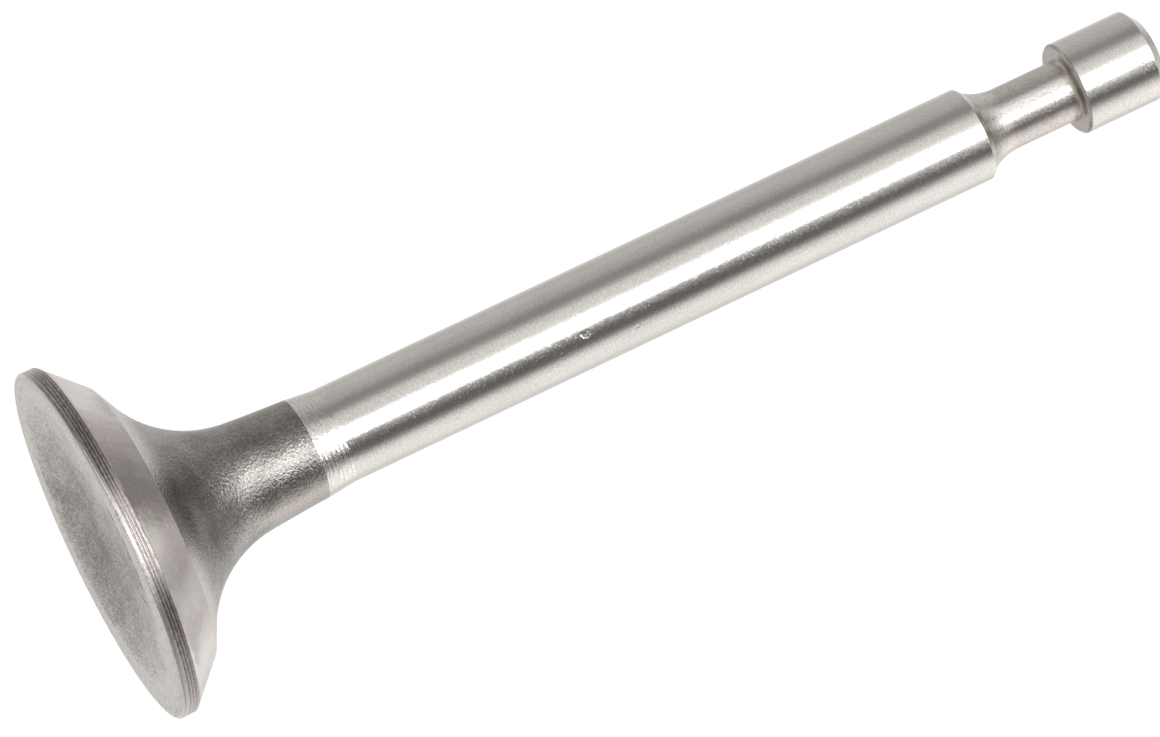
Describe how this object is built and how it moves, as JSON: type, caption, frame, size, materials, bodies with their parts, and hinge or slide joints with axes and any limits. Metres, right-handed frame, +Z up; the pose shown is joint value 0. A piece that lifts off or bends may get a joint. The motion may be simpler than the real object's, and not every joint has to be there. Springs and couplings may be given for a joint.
{
  "type": "engine valve",
  "caption": "Poppet valve for an engine: round dished head with a conical seat, tulip neck, ground stem, keeper groove and tip button.",
  "frame": {"origin": "centre of the head face, on the plane that its flat ring stands on", "axes": "+Z up the stem from the head face to the tip; the part is round, so +X and +Y are any two directions square to it"},
  "size_m": [0.03, 0.03, 0.096],
  "materials": {
    "valve_steel": "ground bright on the stem, seat and tip, turned on the margin, shot-blasted grey on the neck and head face"
  },
  "bodies": {
    "root": {"valve": "valve_steel"}
  },
  "joints": []
}
